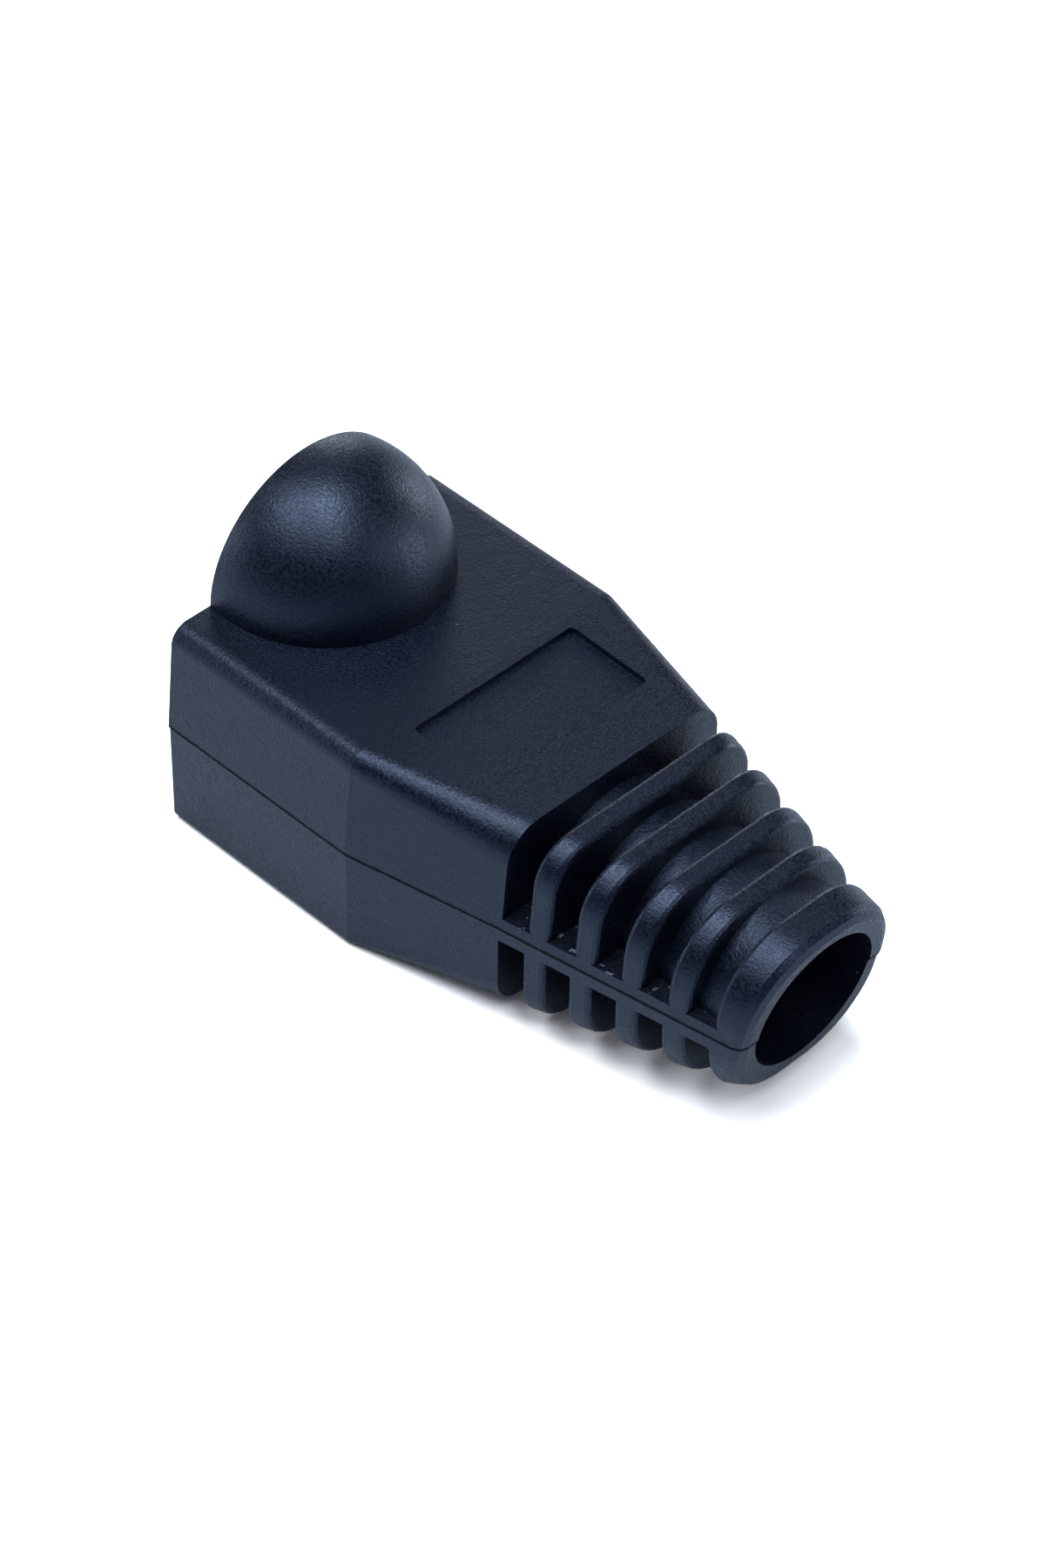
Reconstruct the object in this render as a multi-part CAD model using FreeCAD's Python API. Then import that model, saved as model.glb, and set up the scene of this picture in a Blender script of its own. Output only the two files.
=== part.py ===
import FreeCAD, Part
import math
import os

# Strain relief boot for an RJ45 plug: one piece of moulded flexible PVC.
#
# Millimetres. X runs from the plug end to the cable end, Y is across the boot,
# Z is up. The flat front of the underside lies on z = 0, and the middle plane is
# y = 0. Behind it the underside rises a little towards the cable end. The
# form is built with the plug end at x = 0, and moved at the end so that the
# origin is under the middle of its length. The mould opens up and down, so the
# piece has an upper and a lower half that meet at the parting plane, and each
# half draws in away from it.

# ---- driving dimensions ----

# body round the plug
body_width = 14.2
body_height = 9.7
parting_height = 4.9
body_straight = 9.55
draft_deg = 2.5
top_edge_radius = 0.8
bottom_edge_radius = 0.4
wall_side = 1.1
wall_flat = 0.9

# end of the body, where the neck starts
shoulder_x = 16.3
shoulder_width = 11.4
shoulder_height = 9.45
shoulder_bottom = 0.62
shoulder_top_radius = 1.5
shoulder_bottom_radius = 1.3

# ribbed neck
slot_count = 5
slot_pitch = 1.98
slot_width = 1.08
lower_slot_shift = -0.22
rib_edge_radius = 0.17
spine_above = 0.57
spine_below = 0.64

# cable end
length = 26.5
cable_hole = 6.0
bore_height = 4.95
end_width = 7.8
end_top = 8.65
end_bottom = 1.15
end_corner_radius = 3.3
end_edge_radius = 0.4
end_lean_deg = 7.0
sleeve_wall_at_body = 0.5
sleeve_wall_at_end = 0.75

# small mismatch of the two mould halves
parting_step = 0.07
end_step = 0.06

# hood over the plug's latch
hood_radius = 5.05
hood_centre_x = 1.0
hood_wall = 0.85

# plug pocket and the funnel behind it
pocket_depth = 10.4
pocket_corner_radius = 0.6
funnel_end_gap = 0.7

# bare label recess on top
label_front = 10.0
label_length = 3.95
label_width = 8.35
label_depth = 0.25
label_corner_radius = 0.25

# free length that cutting tools run past a surface
clear = 1.0

# ---- worked out ----

UP = 1
DOWN = -1
hole_radius = cable_hole / 2
neck_length = length - shoulder_x
collar_start = shoulder_x + (slot_count - 1) * slot_pitch + slot_width
end_lean = math.tan(math.radians(end_lean_deg))


def between(start, end, share):
    """Value at a share of the way from start to end."""
    return start + (end - start) * share


class HalfSection:
    """Half of the boot's outer section, on one side of the parting plane.

    half_width is measured at the parting plane, reach is how far the half
    goes up or down from it, and corner is the radius of its two corners.
    """

    def __init__(self, side, half_width, reach, corner):
        self.side = side
        self.half_width = half_width
        self.reach = reach
        self.corner = corner

    def blend(self, other, share):
        """Section at a share of the way to another one."""
        return HalfSection(
            self.side,
            between(self.half_width, other.half_width, share),
            between(self.reach, other.reach, share),
            between(self.corner, other.corner, share),
        )

    def inset(self, amount):
        """Same section, drawn in by amount all round."""
        return HalfSection(
            self.side,
            self.half_width - amount,
            self.reach - amount,
            max(self.corner - amount, amount),
        )

    def wire(self, x, lean=0.0):
        """Closed outline at x; lean tips its top towards the cable end."""
        draft = math.radians(draft_deg)
        flat_half = self.half_width - self.reach * math.tan(draft)
        turn = math.radians(90) - draft
        setback = self.corner * math.tan(turn / 2)
        side_y = flat_half + setback * math.sin(draft)
        side_z = self.reach - setback * math.cos(draft)
        flat_y = flat_half - setback
        middle = draft + turn / 2
        arc_y = flat_y + self.corner * math.cos(middle)
        arc_z = self.reach - self.corner + self.corner * math.sin(middle)

        def point(y, rise):
            z = parting_height + self.side * rise
            return FreeCAD.Vector(x + lean * (z - parting_height), y, z)

        foot_near = point(-self.half_width, 0)
        side_near = point(-side_y, side_z)
        flat_near = point(-flat_y, self.reach)
        flat_far = point(flat_y, self.reach)
        side_far = point(side_y, side_z)
        foot_far = point(self.half_width, 0)
        edges = [
            Part.makeLine(foot_near, side_near),
            Part.Arc(side_near, point(-arc_y, arc_z), flat_near).toShape(),
            Part.makeLine(flat_near, flat_far),
            Part.Arc(flat_far, point(arc_y, arc_z), side_far).toShape(),
            Part.makeLine(side_far, foot_far),
            Part.makeLine(foot_far, foot_near),
        ]
        return Part.Wire(edges)


def mouth_section(side):
    """Outer section of the straight body."""
    if side == UP:
        return HalfSection(side, body_width / 2, body_height - parting_height, top_edge_radius)
    half_width = body_width / 2 - parting_step
    return HalfSection(side, half_width, parting_height, bottom_edge_radius)


def shoulder_section(side):
    """Outer section where the neck starts."""
    if side == UP:
        reach = shoulder_height - parting_height
        return HalfSection(side, shoulder_width / 2, reach, shoulder_top_radius)
    half_width = shoulder_width / 2 - parting_step
    reach = parting_height - shoulder_bottom
    return HalfSection(side, half_width, reach, shoulder_bottom_radius)


def end_section(side):
    """Outer section at the cable end."""
    if side == UP:
        return HalfSection(side, end_width / 2, end_top - parting_height, end_corner_radius)
    half_width = end_width / 2 - parting_step
    return HalfSection(side, half_width, parting_height - end_bottom, end_corner_radius)


def slot_shift(side):
    """How far a half's slots lie from the upper ones, along the neck."""
    return 0.0 if side == UP else lower_slot_shift


def neck_section(side, x):
    """Outer section of the neck at x, tapering to the cable end."""
    share = (x - shoulder_x) / neck_length
    return shoulder_section(side).blend(end_section(side), share)


def body(side):
    """One half of the body: straight round the plug, then tapering."""
    wires = [
        mouth_section(side).wire(0),
        mouth_section(side).wire(body_straight),
        shoulder_section(side).wire(shoulder_x + slot_shift(side)),
    ]
    return Part.makeLoft(wires, True, True)


def rounded_slab(side, start, end, end_radius, lean):
    """One half of a slab of the neck from start to end, with rounded edges.

    The edge at start has rib_edge_radius, the edge at end has end_radius,
    and the face at end leans by lean.
    """
    wires = []
    for angle_deg in (0, 45, 90):
        angle = math.radians(angle_deg)
        x = start + rib_edge_radius * (1 - math.sin(angle))
        inset = rib_edge_radius * (1 - math.cos(angle))
        wires.insert(0, neck_section(side, x).inset(inset).wire(x))
    for angle_deg in (0, 45, 90):
        angle = math.radians(angle_deg)
        x = end - end_radius * (1 - math.sin(angle))
        inset = end_radius * (1 - math.cos(angle))
        wires.append(neck_section(side, x).inset(inset).wire(x, lean))
    return Part.makeLoft(wires, True, True)


def ribs(side):
    """Ribs between the slots on one side of the parting plane."""
    slabs = []
    for index in range(slot_count - 1):
        start = shoulder_x + index * slot_pitch + slot_width + slot_shift(side)
        end = shoulder_x + (index + 1) * slot_pitch + slot_shift(side)
        slabs.append(rounded_slab(side, start, end, rib_edge_radius, 0.0))
    return slabs


def collar(side):
    """Plain ring behind the last slot, with its end face leaning."""
    end = length if side == UP else length - end_step
    start = collar_start + slot_shift(side)
    return rounded_slab(side, start, end, end_edge_radius, end_lean)


def spine(side):
    """Strips along both sides of the neck that carry the ribs."""
    ends = (shoulder_x + slot_shift(side), length - end_edge_radius)
    wires = [neck_section(side, x).wire(x) for x in ends]
    whole = Part.makeLoft(wires, True, True)
    rise = spine_above if side == UP else spine_below
    bottom = parting_height if side == UP else parting_height - rise
    corner = FreeCAD.Vector(shoulder_x - clear, -body_width / 2, bottom)
    band = Part.makeBox(neck_length, body_width, rise, corner)
    return whole.common(band)


def along_x(start, reach, radius_start, radius_end):
    """Round bar or cone on the cable's axis."""
    axis_point = FreeCAD.Vector(start, 0, bore_height)
    along = FreeCAD.Vector(1, 0, 0)
    if radius_start == radius_end:
        return Part.makeCylinder(radius_start, reach, axis_point, along)
    return Part.makeCone(radius_start, radius_end, reach, axis_point, along)


def sleeve():
    """Thin tube round the cable that closes the bottom of every slot."""
    start = shoulder_x - clear
    reach = collar_start + clear / 2 - start
    radius_start = hole_radius + sleeve_wall_at_body
    radius_end = hole_radius + sleeve_wall_at_end
    return along_x(start, reach, radius_start, radius_end)


def hood():
    """Outer form of the hood, cut off by the front plane and the flat top."""
    centre = FreeCAD.Vector(hood_centre_x, 0, body_height)
    ball = Part.makeSphere(hood_radius, centre)
    root_height = body_height - wall_flat / 2
    corner = FreeCAD.Vector(0, -body_width / 2, root_height)
    half_space = Part.makeBox(2 * hood_radius, body_width, 2 * hood_radius, corner)
    return ball.common(half_space)


def hood_hollow():
    """Room for the plug's latch, open to the front and to the pocket."""
    centre = FreeCAD.Vector(hood_centre_x, 0, body_height)
    return Part.makeSphere(hood_radius - hood_wall, centre)


def pocket():
    """Plug pocket, with its long edges rounded."""
    half_width = body_width / 2 - wall_side
    rise = body_height - 2 * wall_flat
    corner = FreeCAD.Vector(-clear, -half_width, wall_flat)
    block = Part.makeBox(pocket_depth + clear, 2 * half_width, rise, corner)
    long_edges = [edge for edge in block.Edges if edge.BoundBox.XLength > pocket_depth]
    return block.makeFillet(pocket_corner_radius, long_edges)


def rectangle(x, half_width, bottom, top):
    """Upright rectangle at x, as a closed wire."""
    corners = [(-half_width, bottom), (half_width, bottom), (half_width, top), (-half_width, top)]
    points = [FreeCAD.Vector(x, y, z) for y, z in corners + corners[:1]]
    return Part.makePolygon(points)


def funnel():
    """Four flat slopes that lead from the pocket to the cable hole."""
    half_width = body_width / 2 - wall_side - pocket_corner_radius / 2
    bottom = wall_flat + pocket_corner_radius / 2
    top = body_height - bottom
    hole_bottom = bore_height - hole_radius
    hole_top = bore_height + hole_radius
    wires = [
        rectangle(pocket_depth, half_width, bottom, top),
        rectangle(shoulder_x - funnel_end_gap, hole_radius, hole_bottom, hole_top),
    ]
    return Part.makeLoft(wires, True, True)


def bore():
    """Cable hole from the funnel to the end face."""
    start = shoulder_x - funnel_end_gap - clear / 2
    return along_x(start, length + 2 * clear - start, hole_radius, hole_radius)


def top_at(x):
    """Height of the top face where the body tapers."""
    share = (x - body_straight) / (shoulder_x - body_straight)
    return between(body_height, shoulder_height, share)


def label_recess():
    """Shallow bare recess whose floor runs parallel to the top face."""
    front = label_front
    back = label_front + label_length
    half = label_width / 2
    profile = Part.makePolygon([
        FreeCAD.Vector(front, -half, top_at(front) - label_depth),
        FreeCAD.Vector(back, -half, top_at(back) - label_depth),
        FreeCAD.Vector(back, -half, body_height + clear),
        FreeCAD.Vector(front, -half, body_height + clear),
        FreeCAD.Vector(front, -half, top_at(front) - label_depth),
    ])
    block = Part.Face(profile).extrude(FreeCAD.Vector(0, label_width, 0))
    uprights = [edge for edge in block.Edges if edge.BoundBox.XLength + edge.BoundBox.YLength < label_depth]
    return block.makeFillet(label_corner_radius, uprights)


def half(side):
    """Outer form of one mould half, one piece joined on at a time."""
    whole = body(side)
    for piece in [spine(side), collar(side)] + ribs(side):
        whole = whole.fuse(piece)
    return whole


def strain_relief_boot():
    """The whole moulding as one solid."""
    upper = half(UP).fuse(hood())
    lower = half(DOWN).fuse(sleeve())
    whole = upper.fuse(lower)
    for tool in (pocket(), funnel(), hood_hollow(), bore(), label_recess()):
        whole = whole.cut(tool)
    return whole.removeSplitter().Solids[0]


def main():
    """Centre the boot over the origin and write its STEP file."""
    os.makedirs("parts", exist_ok=True)
    boot = strain_relief_boot()
    box = boot.optimalBoundingBox()
    boot.translate(FreeCAD.Vector(-box.Center.x, 0, 0))
    print("valid", boot.isValid(), "volume", round(boot.Volume, 1))
    print("size", round(box.XLength, 2), round(box.YLength, 2), round(box.ZLength, 2))
    print("plug end at x", round(-box.Center.x, 3))
    boot.exportStep("parts/strain_relief_boot.step")


main()
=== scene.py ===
"""Dresses and lights a moulded RJ45 strain relief boot, ready to be rendered."""

import logging
import math
from dataclasses import dataclass, field
from enum import Enum
from typing import Any, Dict, List, Optional, Sequence, Tuple, Union

import bpy
from mathutils import Matrix, Vector


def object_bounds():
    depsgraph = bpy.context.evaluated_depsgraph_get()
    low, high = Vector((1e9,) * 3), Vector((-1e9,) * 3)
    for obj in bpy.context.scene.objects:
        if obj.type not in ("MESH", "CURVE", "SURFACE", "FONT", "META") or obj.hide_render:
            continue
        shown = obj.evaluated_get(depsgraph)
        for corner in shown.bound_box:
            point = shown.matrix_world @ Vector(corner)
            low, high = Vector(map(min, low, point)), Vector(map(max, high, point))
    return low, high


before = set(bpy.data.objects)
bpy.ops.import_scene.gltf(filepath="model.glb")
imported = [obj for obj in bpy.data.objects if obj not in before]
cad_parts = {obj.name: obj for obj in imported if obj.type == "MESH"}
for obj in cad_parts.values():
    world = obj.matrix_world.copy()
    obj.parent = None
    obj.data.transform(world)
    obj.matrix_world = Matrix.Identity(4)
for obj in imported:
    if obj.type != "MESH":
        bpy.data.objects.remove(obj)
CAD_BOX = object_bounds()

LOG = logging.getLogger("boot")
MM = 0.001

NOISE_LAYERS = 2.0
WHITE = (1.0, 1.0, 1.0)
BLACK = (0.0, 0.0, 0.0)

Colour = Tuple[float, float, float]
Point = Tuple[float, float, float]
Step = Tuple[float, float]


class Join(Enum):
    """How a Math node puts two numbers together."""

    ADD = "ADD"
    SUBTRACT = "SUBTRACT"
    MULTIPLY = "MULTIPLY"
    DIVIDE = "DIVIDE"
    POWER = "POWER"
    MOST = "MAXIMUM"
    SIZE = "ABSOLUTE"


class Ray(Enum):
    """The kinds of ray that see the white background."""

    CAMERA = "Is Camera Ray"
    TRANSMISSION = "Is Transmission Ray"


class Value:
    """A number that varies over a surface, written with plain arithmetic."""

    def __init__(self, nodes: "Nodes", socket: bpy.types.NodeSocket) -> None:
        """Keeps the socket that the number comes from.

        Args:
            nodes: the node tree that the socket belongs to.
            socket: the output that carries the number.
        """
        self.nodes = nodes
        self.socket = socket

    def _join(self, how: Join, first: Any, second: Any) -> "Value":
        """Puts two numbers together in one Math node.

        Args:
            how: what the node does with them.
            first: a Value, a socket or a plain number.
            second: the same.

        Returns:
            The outcome.
        """
        made = self.nodes.node("ShaderNodeMath", {"operation": how.value}, {0: first, 1: second})
        return Value(self.nodes, made.outputs[0])

    def __add__(self, other: Any) -> "Value":
        """This number plus another."""
        return self._join(Join.ADD, self, other)

    def __radd__(self, other: Any) -> "Value":
        """Another number plus this."""
        return self._join(Join.ADD, other, self)

    def __sub__(self, other: Any) -> "Value":
        """This number less another."""
        return self._join(Join.SUBTRACT, self, other)

    def __rsub__(self, other: Any) -> "Value":
        """Another number less this."""
        return self._join(Join.SUBTRACT, other, self)

    def __mul__(self, other: Any) -> "Value":
        """This number times another."""
        return self._join(Join.MULTIPLY, self, other)

    def __rmul__(self, other: Any) -> "Value":
        """Another number times this."""
        return self._join(Join.MULTIPLY, other, self)

    def __truediv__(self, other: Any) -> "Value":
        """This number over another."""
        return self._join(Join.DIVIDE, self, other)

    def __rtruediv__(self, other: Any) -> "Value":
        """Another number over this."""
        return self._join(Join.DIVIDE, other, self)

    def __pow__(self, other: Any) -> "Value":
        """This number to a power."""
        return self._join(Join.POWER, self, other)

    def __rpow__(self, other: Any) -> "Value":
        """Another number to the power of this."""
        return self._join(Join.POWER, other, self)

    def __neg__(self) -> "Value":
        """This number with its sign turned."""
        return self._join(Join.MULTIPLY, self, -1.0)

    def size(self) -> "Value":
        """This number without its sign."""
        return self._join(Join.SIZE, self, 0.0)

    def most(self, other: Any) -> "Value":
        """The larger of this number and another."""
        return self._join(Join.MOST, self, other)

    def ramp(self, start: float, end: float) -> "Value":
        """A smooth step from 0 at one level of this number to 1 at another.

        Args:
            start: the level at which the step leaves 0.
            end: the level at which the step reaches 1.

        Returns:
            The step, which stays between 0 and 1.
        """
        made = self.nodes.node(
            "ShaderNodeMapRange",
            {"interpolation_type": "SMOOTHSTEP", "clamp": True},
            {"Value": self, "From Min": start, "From Max": end, "To Min": 0.0, "To Max": 1.0},
        )
        return Value(self.nodes, made.outputs[0])


class Nodes:
    """The node tree of a material or a world, with one method that makes every node in it."""

    def __init__(self, owner: Union[bpy.types.Material, bpy.types.World]) -> None:
        """Starts an empty node tree.

        Args:
            owner: the material or world that the tree belongs to.
        """
        owner.use_nodes = True
        self.owner = owner
        self.tree = owner.node_tree
        self.tree.nodes.clear()

    def node(
        self,
        kind: str,
        settings: Optional[Dict[str, Any]] = None,
        inputs: Optional[Dict[Union[int, str], Any]] = None,
    ) -> bpy.types.Node:
        """Makes a node, sets it, and fills or links its sockets.

        Args:
            kind: the node's type.
            settings: the node's own settings, given before any socket.
            inputs: a value, socket or Value for each named or numbered socket.

        Returns:
            The new node.
        """
        made = self.tree.nodes.new(kind)
        for name, setting in (settings or {}).items():
            setattr(made, name, setting)
        for name, given in (inputs or {}).items():
            if isinstance(given, Value):
                self.tree.links.new(given.socket, made.inputs[name])
            elif isinstance(given, bpy.types.NodeSocket):
                self.tree.links.new(given, made.inputs[name])
            else:
                made.inputs[name].default_value = given
        return made

    def place(self) -> bpy.types.NodeSocket:
        """The point on the surface, in metres, in the piece's own coordinates."""
        return self.node("ShaderNodeTexCoord").outputs["Object"]

    def facing(self) -> bpy.types.NodeSocket:
        """The way that the surface faces, in the piece's own coordinates."""
        return self.node("ShaderNodeTexCoord").outputs["Normal"]

    def axes(self, point: bpy.types.NodeSocket) -> Tuple[Value, Value, Value]:
        """The three numbers of a point or direction."""
        parts = self.node("ShaderNodeSeparateXYZ", {}, {0: point})
        return tuple(Value(self, part) for part in parts.outputs)

    def noise(self, point: bpy.types.NodeSocket, lump: float, rough: float = 0.5) -> Value:
        """Soft random unevenness.

        Args:
            point: where the pattern is read.
            lump: the size of one lump, in metres.
            rough: how strong the finer layers on top of the lumps are.

        Returns:
            A number near 0.5 that wanders between 0 and 1.
        """
        made = self.node(
            "ShaderNodeTexNoise",
            {"noise_dimensions": "3D"},
            {"Vector": point, "Scale": 1.0 / lump, "Detail": NOISE_LAYERS, "Roughness": rough},
        )
        return Value(self, made.outputs[0])

    def specks(self, point: bpy.types.NodeSocket, spacing: float, reach: float) -> Value:
        """Small round specks strewn over a surface.

        Args:
            point: where the pattern is read.
            spacing: the distance between specks, in metres.
            reach: the radius of a speck as a share of the spacing.

        Returns:
            1 at the middle of a speck, falling to 0 at its rim.
        """
        made = self.node(
            "ShaderNodeTexVoronoi", {"feature": "F1"}, {"Vector": point, "Scale": 1.0 / spacing}
        )
        return 1.0 - Value(self, made.outputs["Distance"]).ramp(0.2 * reach, reach)

    def mix(
        self,
        share: Value,
        first: Union[Colour, bpy.types.NodeSocket],
        second: Union[Colour, bpy.types.NodeSocket],
    ) -> bpy.types.NodeSocket:
        """A colour between two others.

        Args:
            share: 0 gives the first colour and 1 the second.
            first: the colour at 0, or a socket that carries it.
            second: the colour at 1, or a socket that carries it.

        Returns:
            The mixed colour.
        """
        ends = [
            given if isinstance(given, bpy.types.NodeSocket) else (*given, 1.0)
            for given in (first, second)
        ]
        made = self.node("ShaderNodeMix", {"data_type": "RGBA"}, {0: share, 6: ends[0], 7: ends[1]})
        return made.outputs[2]

    def bump(
        self, height: Value, depth: float, over: Optional[bpy.types.Node] = None
    ) -> bpy.types.Node:
        """Fine relief on a surface.

        Args:
            height: the relief, from 0 to 1.
            depth: how deep the relief is, in metres.
            over: a coarser relief that this one lies on.

        Returns:
            The Bump node, whose first output is the normal.
        """
        inputs: Dict[Union[int, str], Any] = {"Height": height, "Distance": depth}
        if over is not None:
            inputs["Normal"] = over.outputs[0]
        return self.node("ShaderNodeBump", {}, inputs)

    def blend(
        self, share: Value, first: bpy.types.Node, second: bpy.types.Node
    ) -> bpy.types.NodeSocket:
        """A surface between two others.

        Args:
            share: 0 gives the first surface and 1 the second.
            first: the surface at 0.
            second: the surface at 1.

        Returns:
            The mixed surface.
        """
        inputs = {0: share, 1: first.outputs[0], 2: second.outputs[0]}
        return self.node("ShaderNodeMixShader", {}, inputs).outputs[0]

    def background_share(self) -> Value:
        """1 for the rays that see the white background, and 0 for those that light the object."""
        path = self.node("ShaderNodeLightPath")
        camera, through = (Value(self, path.outputs[ray.value]) for ray in Ray)
        return camera.most(through)

    def finish(self, surface: bpy.types.NodeSocket) -> Union[bpy.types.Material, bpy.types.World]:
        """Joins a surface to the tree's output.

        Args:
            surface: what the material or the world looks like.

        Returns:
            The material or world that the tree belongs to.
        """
        world = isinstance(self.owner, bpy.types.World)
        kind = "ShaderNodeOutputWorld" if world else "ShaderNodeOutputMaterial"
        self.node(kind, {}, {"Surface": surface})
        return self.owner


@dataclass(frozen=True)
class MouldedPvc:
    """Soft black PVC with a blue cast, moulded in a fine spark-eroded tool.

    Attributes:
        deep: the colour in the hollows of the grain.
        worn: the colour that handling leaves on the tops of the grain.
        dust_and_glint_colour: the colour of a grain of dust, and of the painted glints on the
            ledges.
        line_shade_colour: the colour of the painted shade in the witness line.
        grain: the size of one pit of the spark-eroded grain, in metres.
        pebble: the size of the slower waves under the grain, in metres.
        cloud: the size of the patches of more and less handled plastic, in metres.
        grain_depth: the depth of the pits, in metres.
        pebble_depth: the depth of the waves, in metres.
        dust_spacing: the distance from one grain of dust to the next, in metres.
        dust_reach: the radius of a grain of dust as a share of that distance.
        dust_step: the level of the patches at which the dust starts and is full.
        parting_height: where the two halves of the mould meet, in metres.
        line_width: half the width of the painted shade along the witness line, in metres.
        line_strength: how dark the painted shade on that line is, from 0 to 1.
        line_lump: the size of the unevenness of its edges, in metres.
        ledge_height: how high the ledges between the upper ribs lie, in metres.
        ledge_depth: how far above and below that a ledge may reach, in metres.
        ledge_inside: how far from the middle plane the ledges start, in metres.
        ledge_dullness: how much duller the ledges are, from 0 to 1.
        ledge_glint_size: the size of one painted glint on a ledge, in metres.
        ledge_glint_step: the level of the pattern at which a painted glint starts and is full.
        roughness_low: the roughness on the tops of the grain.
        roughness_high: the roughness in its hollows.
        gloss: the strength of the reflection, seen square on.
        gloss_tint: the colour of that reflection.
    """

    deep: Colour = (0.0002, 0.0008, 0.0052)
    worn: Colour = (0.0010, 0.0022, 0.0108)
    dust_and_glint_colour: Colour = (0.20, 0.24, 0.28)
    line_shade_colour: Colour = (0.0010, 0.0016, 0.0034)
    grain: float = 0.11 * MM
    pebble: float = 0.45 * MM
    cloud: float = 4.0 * MM
    grain_depth: float = 0.021 * MM
    pebble_depth: float = 0.012 * MM
    dust_spacing: float = 1.1 * MM
    dust_reach: float = 0.05
    dust_step: Step = (0.50, 0.60)
    parting_height: float = 4.9 * MM
    line_width: float = 0.130 * MM
    line_strength: float = 0.95
    line_lump: float = 0.35 * MM
    ledge_height: float = 5.47 * MM
    ledge_depth: float = 0.10 * MM
    ledge_inside: float = 3.0 * MM
    ledge_dullness: float = 0.45
    ledge_glint_size: float = 0.42 * MM
    ledge_glint_step: Step = (0.61, 0.66)
    roughness_low: float = 0.30
    roughness_high: float = 0.50
    gloss: float = 0.66
    gloss_tint: Colour = (0.55, 0.70, 1.0)

    def plastic(
        self, nodes: Nodes, point: bpy.types.NodeSocket, ledge: Value
    ) -> bpy.types.Node:
        """The grained surface that shows nearly everywhere.

        Args:
            nodes: the tree of the material that it belongs to.
            point: where its patterns are read.
            ledge: 1 on the ledges between the upper ribs and 0 off them.

        Returns:
            The surface's shader node.
        """
        grain = nodes.noise(point, self.grain, 0.6)
        pebble = nodes.noise(point, self.pebble)
        cloud = nodes.noise(point, self.cloud)
        # The pale spots on the ledges are painted glints.
        ledge_glints = ledge * nodes.noise(point, self.ledge_glint_size, 0.6).ramp(*self.ledge_glint_step)
        specks = nodes.specks(point, self.dust_spacing, self.dust_reach)
        # Real specks here, plus the painted glints on the ledges.
        dust_and_glints = specks * cloud.ramp(*self.dust_step) + ledge_glints
        handled = grain.ramp(0.35, 0.75) * 0.5 + cloud.ramp(0.3, 0.7) * 0.5
        body = nodes.mix(handled, self.deep, self.worn)
        dull = grain.ramp(0.3, 0.7) * (self.roughness_high - self.roughness_low)
        waves = nodes.bump(pebble, self.pebble_depth)
        pits = nodes.bump(grain, self.grain_depth, waves)
        return nodes.node(
            "ShaderNodeBsdfPrincipled",
            {},
            {
                "Base Color": nodes.mix(dust_and_glints, body, self.dust_and_glint_colour),
                "Roughness": dull + self.roughness_low,
                "Normal": pits.outputs[0],
                "Specular IOR Level": self.gloss,
                "Specular Tint": (*self.gloss_tint, 1.0),
                "IOR": 1.5,
            },
        )

    def groove_shade(self, nodes: Nodes) -> bpy.types.Node:
        """The dull dark surface of painted shade inside the witness line.

        Args:
            nodes: the tree of the material that it belongs to.

        Returns:
            The surface's shader node.
        """
        # Near black and dull: painted shade for the witness line.
        look = {"Base Color": (*self.line_shade_colour, 1.0), "Roughness": 0.9, "Specular IOR Level": 0.1}
        return nodes.node("ShaderNodeBsdfPrincipled", {}, look)

    def witness_line(self, nodes: Nodes, point: bpy.types.NodeSocket) -> Value:
        """Where the painted shade along the mould's thin parting line runs, a little unevenly.

        A core makes the inside of the boot, so the line is on the outside only, where the
        surface faces away from the middle plane.

        Args:
            nodes: the tree of the material that it belongs to.
            point: where the line is read.

        Returns:
            1 on the line and 0 off it.
        """
        _, across, up = nodes.axes(point)
        _, sideways, _ = nodes.axes(nodes.facing())
        outside = 1.0 - (-(sideways * across)).ramp(0.5 * MM, 1.5 * MM)
        ragged = nodes.noise(point, self.line_lump, 0.6)
        half = (ragged * 0.8 + 0.6) * self.line_width
        off_line = ((up - self.parting_height).size() / half).ramp(0.4, 1.3)
        return (1.0 - off_line) * outside

    def ledge(self, nodes: Nodes, point: bpy.types.NodeSocket) -> Value:
        """The small ledges between the upper ribs, where painted glints are strewn.

        Args:
            nodes: the tree of the material that it belongs to.
            point: where the ledges are looked for.

        Returns:
            1 on a ledge and 0 off it.
        """
        _, across, up = nodes.axes(point)
        _, _, upward = nodes.axes(nodes.facing())
        away = (up - self.ledge_height).size()
        level = 1.0 - away.ramp(self.ledge_depth, 1.5 * self.ledge_depth)
        outer = across.size().ramp(self.ledge_inside, self.ledge_inside + 0.4 * MM)
        return level * outer * upward.ramp(0.7, 0.9)

    def build(self) -> bpy.types.Material:
        """Makes the material.

        Returns:
            The finished moulded plastic.
        """
        nodes = Nodes(bpy.data.materials.new("moulded_pvc_black"))
        point = nodes.place()
        ledge = self.ledge(nodes, point)
        line = self.witness_line(nodes, point)
        # Painted shade along the witness line; the ledges are also blended part way to the same
        # dark surface.
        dark = (line * self.line_strength).most(ledge * self.ledge_dullness)
        plastic = self.plastic(nodes, point, ledge)
        return nodes.finish(nodes.blend(dark, plastic, self.groove_shade(nodes)))


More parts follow.
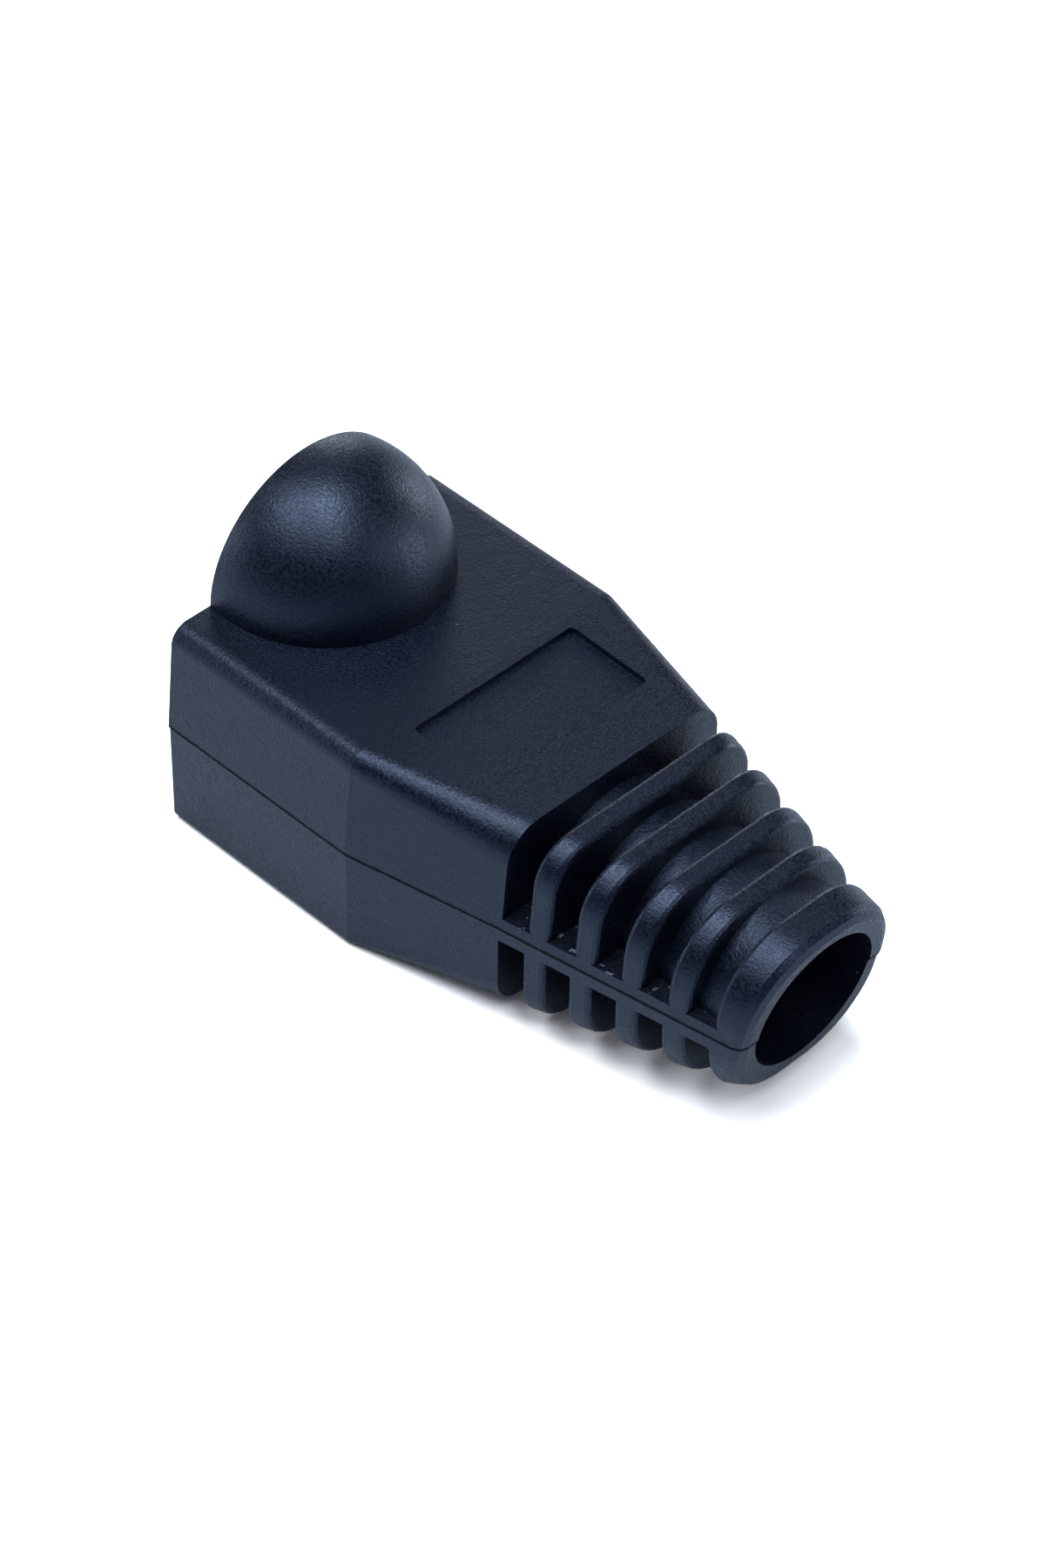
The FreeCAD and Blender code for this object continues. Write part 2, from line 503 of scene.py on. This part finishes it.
@dataclass(frozen=True)
class PaperSweep:
    """White paper that catches the object's shadow and is pure white to the camera.

    Attributes:
        hollow: the colour between the fibres.
        fibre: the colour of the fibres.
        fibre_size: the size of one tuft of fibres, in metres.
        lift: the colour that is added for the rays that see the background.
        fade_start: how far from the object the paper starts to go plain white, in metres.
        fade_end: how far from the object it is plain white, in metres.
    """

    hollow: Colour = (0.68, 0.75, 0.83)
    fibre: Colour = (0.70, 0.77, 0.85)
    fibre_size: float = 0.4 * MM
    lift: Colour = (1.30, 1.20, 1.09)
    fade_start: float = 60.0 * MM
    fade_end: float = 250.0 * MM

    def build(self) -> bpy.types.Material:
        """Makes the material.

        Returns:
            The floor's white paper.
        """
        nodes = Nodes(bpy.data.materials.new("white_paper"))
        point = nodes.place()
        seen = nodes.background_share()
        colour = nodes.mix(nodes.noise(point, self.fibre_size), self.hollow, self.fibre)
        paper = nodes.node("ShaderNodeBsdfDiffuse", {}, {"Color": colour, "Roughness": 0.0})
        extra = nodes.mix(seen, BLACK, self.lift)
        lifted = nodes.node("ShaderNodeBsdfDiffuse", {}, {"Color": extra, "Roughness": 0.0})
        near = nodes.node("ShaderNodeAddShader", {}, {0: paper.outputs[0], 1: lifted.outputs[0]})
        plain = nodes.node("ShaderNodeEmission", {}, {"Color": (*WHITE, 1.0), "Strength": 1.0})
        along, across, _ = nodes.axes(point)
        away = (along * along + across * across) ** 0.5
        faded = away.ramp(self.fade_start, self.fade_end) * seen
        return nodes.finish(nodes.blend(faded, near, plain))


@dataclass
class StrainReliefBoot:
    """The boot itself: one moulded piece, with a hood over the plug's latch at one end
    and a ribbed sleeve round the cable at the other.

    Attributes:
        node: the name of the piece in the frame.
        finish: what the piece is made of.
    """

    node: str = "strain_relief_boot"
    finish: MouldedPvc = field(default_factory=MouldedPvc)

    def build(self) -> List[bpy.types.Object]:
        """Gives the moulded piece its finish.

        Returns:
            The dressed pieces.
        """
        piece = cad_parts[self.node]
        material = self.finish.build()
        for slot in piece.material_slots:
            slot.material = material
        return [piece]


@dataclass(frozen=True)
class Panel:
    """One round panel of light.

    Attributes:
        name: the lamp's name.
        azimuth: where it hangs, in degrees round from the near side.
        elevation: how high it hangs, in degrees above the floor.
        power: its share of the studio's light.
    """

    name: str
    azimuth: float
    elevation: float
    power: float


@dataclass
class Studio:
    """A plain white floor under soft panels of light.

    Attributes:
        floor_half: half the width of the floor, in metres.
        floor_gap: how far the floor lies under the object, so that no two faces share a plane.
        room: the colour of the room's own light.
        room_strength: the strength of the room's own light.
        distance: how far the panels hang from the object, in metres.
        panel_width: the width of a panel, in metres.
        level: the watts that a panel of power 1 gives.
        tint: the colour of the panels.
        panels: the panels themselves.
    """

    floor_half: float = 2.0
    floor_gap: float = 0.01 * MM
    room: Colour = (0.93, 0.96, 1.0)
    room_strength: float = 0.03
    distance: float = 0.80
    panel_width: float = 0.28
    level: float = 1.1
    tint: Colour = (0.87, 0.92, 1.0)
    panels: Sequence[Panel] = (
        Panel("panel_overhead", 0.0, 90.0, 3.0),
        Panel("panel_front_left", 306.0, 62.0, 1.6),
        Panel("panel_front", 345.0, 58.0, 0.9),
        Panel("panel_front_right", 60.0, 64.0, 1.2),
        Panel("panel_back_right", 225.0, 38.0, 0.14),
        Panel("panel_right", 112.0, 32.0, 0.5),
        Panel("backdrop_right", 138.0, 12.0, 1.1),
        Panel("backdrop_far", 180.0, 10.0, 1.0),
        Panel("backdrop_far_left", 225.0, 12.0, 0.75),
        Panel("backdrop_left", 270.0, 10.0, 0.8),
        Panel("backdrop_near_left", 305.0, 10.0, 0.8),
    )

    def floor(self) -> bpy.types.Object:
        """Lays the floor under the object.

        Returns:
            The floor.
        """
        level = CAD_BOX[0].z - self.floor_gap
        half = self.floor_half
        corners = [(x * half, y * half, level) for x, y in ((-1, -1), (1, -1), (1, 1), (-1, 1))]
        mesh = bpy.data.meshes.new("floor")
        mesh.from_pydata(corners, [], [(0, 1, 2, 3)])
        mesh.materials.append(PaperSweep().build())
        made = bpy.data.objects.new("floor", mesh)
        bpy.context.scene.collection.objects.link(made)
        return made

    def sky(self) -> None:
        """Gives the faint even light of the room, which is white to the camera."""
        nodes = Nodes(bpy.data.worlds.new("white_room"))
        light = {"Color": (*self.room, 1.0), "Strength": self.room_strength}
        room = nodes.node("ShaderNodeBackground", {}, light)
        white = nodes.node("ShaderNodeBackground", {}, {"Color": (*WHITE, 1.0), "Strength": 1.0})
        bpy.context.scene.world = nodes.finish(nodes.blend(nodes.background_share(), room, white))

    def lamps(self) -> List[bpy.types.Object]:
        """Hangs the light panels, each turned to the object.

        Returns:
            The lamps.
        """
        made = []
        middle = (CAD_BOX[0] + CAD_BOX[1]) / 2.0
        for panel in self.panels:
            data = bpy.data.lights.new(panel.name, "AREA")
            data.shape = "DISK"
            data.size = self.panel_width
            data.energy = panel.power * self.level
            data.color = self.tint
            turn, rise = math.radians(panel.azimuth), math.radians(panel.elevation)
            away = Vector(
                (math.sin(turn) * math.cos(rise), -math.cos(turn) * math.cos(rise), math.sin(rise))
            )
            lamp = bpy.data.objects.new(panel.name, data)
            lamp.location = middle + away * self.distance
            lamp.rotation_mode = "QUATERNION"
            lamp.rotation_quaternion = (-away).to_track_quat("-Z", "Y")
            bpy.context.scene.collection.objects.link(lamp)
            made.append(lamp)
        return made

    def build(self) -> List[bpy.types.Object]:
        """Sets up the floor, the room's light and the lamps.

        Returns:
            The floor and the lamps.
        """
        self.sky()
        return [self.floor()] + self.lamps()


@dataclass
class Camera:
    """The camera, above the near side of the cable end.

    Attributes:
        aim: the point in the middle of the view, in metres.
        distance: how far the camera is from that point, in metres.
        azimuth: how far it stands round from the near side, in degrees.
        elevation: how high it looks down from, in degrees.
        roll: how far it is turned about its own axis, in degrees.
        lens: the focal length, in millimetres.
        sensor: the long side of the sensor, in millimetres.
    """

    aim: Point = (-1.535 * MM, -0.179 * MM, 5.698 * MM)
    distance: float = 187.7 * MM
    azimuth: float = 42.25
    elevation: float = 43.03
    roll: float = 3.27
    lens: float = 115.73
    sensor: float = 36.0

    def build(self) -> bpy.types.Object:
        """Sets up the camera.

        Returns:
            The scene's camera.
        """
        data = bpy.data.cameras.new("camera")
        data.lens = self.lens
        data.sensor_width = self.sensor
        data.sensor_fit = "AUTO"
        data.clip_start = 1.0 * MM
        data.clip_end = 10.0
        made = bpy.data.objects.new("camera", data)
        turn = (
            Matrix.Rotation(math.radians(self.azimuth), 4, "Z")
            @ Matrix.Rotation(math.radians(90.0 - self.elevation), 4, "X")
            @ Matrix.Rotation(math.radians(self.roll), 4, "Z")
        )
        made.matrix_world = Matrix.Translation(
            Vector(self.aim) + turn.to_3x3() @ Vector((0.0, 0.0, self.distance))
        ) @ turn
        bpy.context.scene.collection.objects.link(made)
        bpy.context.scene.camera = made
        return made


def main() -> None:
    """Builds the boot, the studio and the camera, and reports each piece."""
    logging.basicConfig(level=logging.INFO, format="%(name)s: %(message)s")
    scene = bpy.context.scene
    scene.view_settings.view_transform = "Standard"
    for part in (StrainReliefBoot(), Studio(), Camera()):
        made = part.build()
        for piece in made if isinstance(made, list) else [made]:
            LOG.info("%s made %s", type(part).__name__, piece.name)


if __name__ == "__main__":
    main()
